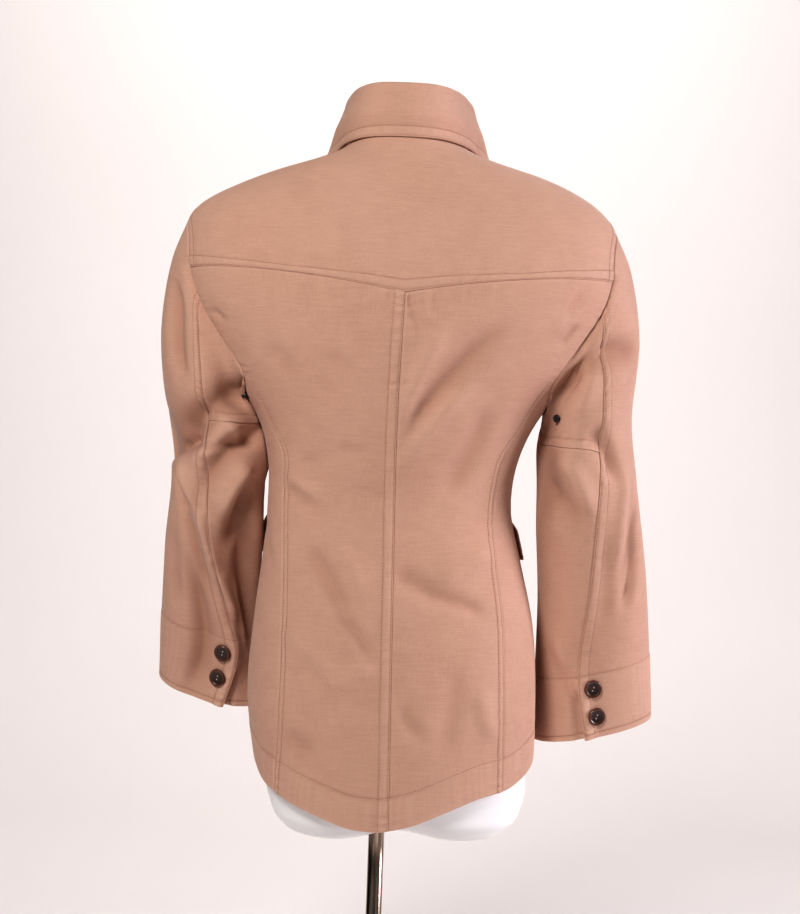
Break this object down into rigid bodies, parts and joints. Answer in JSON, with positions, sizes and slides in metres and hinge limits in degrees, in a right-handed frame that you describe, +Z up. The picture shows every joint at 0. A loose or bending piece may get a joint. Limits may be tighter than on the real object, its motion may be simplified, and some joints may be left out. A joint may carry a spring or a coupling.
{
  "type": "light jacket on a dress form",
  "caption": "Light fitted jacket with a folded collar, pointed back yoke, princess seams and buttoned cuff vents, standing on a smooth limbless dress form with a pole and round base.",
  "frame": {"origin": "centre of the base plate's underside, on the pole's axis, at the surface the stand rests on", "axes": "+Z up the pole, -Y the way the jacket's front faces, +X towards the wearer's left side"},
  "size_m": [0.5189, 0.28, 1.0394],
  "materials": {
    "cloth": "matte dusty rose-tan cotton twill with fine slubs",
    "horn": "polished dark brown horn",
    "eyelet": "black enamelled metal",
    "form": "smooth white gloss shell",
    "stand": "polished chromed steel"
  },
  "bodies": {
    "root": {"back_yoke": "cloth", "back_centre_left": "cloth", "back_side_left": "cloth", "front_left": "cloth", "back_centre_right": "cloth", "back_side_right": "cloth", "front_right": "cloth", "collar": "cloth", "sleeve_top_left": "cloth", "sleeve_under_left": "cloth", "underarm_patch_left": "cloth", "pocket_left": "cloth", "pocket_flap_left": "cloth", "sleeve_top_right": "cloth", "sleeve_under_right": "cloth", "underarm_patch_right": "cloth", "pocket_right": "cloth", "pocket_flap_right": "cloth", "cuff_button_left_1": "horn", "cuff_button_left_2": "horn", "cuff_button_right_1": "horn", "cuff_button_right_2": "horn", "flap_button_left": "horn", "flap_button_right": "horn", "front_button_1": "horn", "front_button_2": "horn", "front_button_3": "horn", "front_button_4": "horn", "front_button_5": "horn", "eyelet_left": "eyelet", "eyelet_right": "eyelet", "dress_form": "form", "pole": "stand", "base_plate": "stand"}
  },
  "joints": []
}
